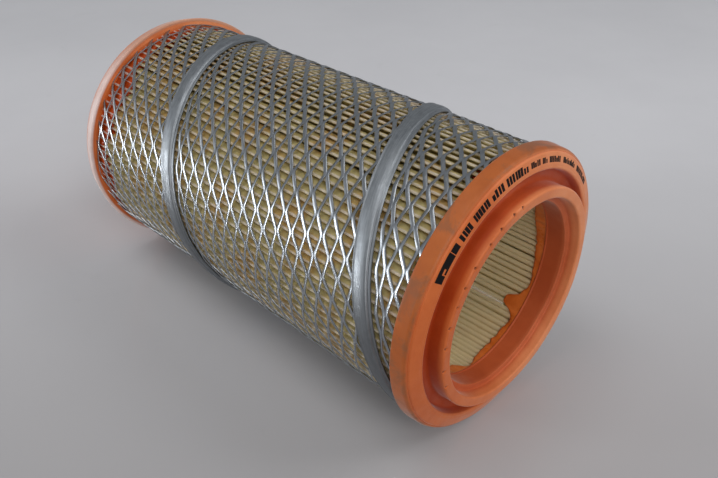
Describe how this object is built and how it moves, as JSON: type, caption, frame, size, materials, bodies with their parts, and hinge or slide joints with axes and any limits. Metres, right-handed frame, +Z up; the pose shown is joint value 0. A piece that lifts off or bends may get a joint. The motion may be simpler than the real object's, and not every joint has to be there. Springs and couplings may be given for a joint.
{
  "type": "cylindrical air filter element",
  "caption": "Cylindrical pleated-paper air filter element with moulded foam end caps, a radial sealing bore and a spirally wound expanded-metal liner.",
  "frame": {"origin": "centre of the bottom of the bounding box, on the surface that the element lies on", "axes": "+X along the element's axis, out of its open end; +Z up; the element lies on the rims of its two end caps"},
  "size_m": [0.261, 0.1416, 0.1416],
  "materials": {
    "cap_foam": "matt moulded polyurethane foam",
    "filter_paper": "resin-treated filter paper",
    "hot_melt": "hot-melt adhesive",
    "galvanised_mesh": "galvanised expanded steel",
    "galvanised_seam": "galvanised sheet, folded"
  },
  "bodies": {
    "root": {"front_end_cap": "cap_foam", "rear_end_cap": "cap_foam", "pleated_media": "filter_paper", "media_seam_strip": "hot_melt", "outer_liner": "galvanised_mesh", "lock_seam": "galvanised_seam"}
  },
  "joints": []
}
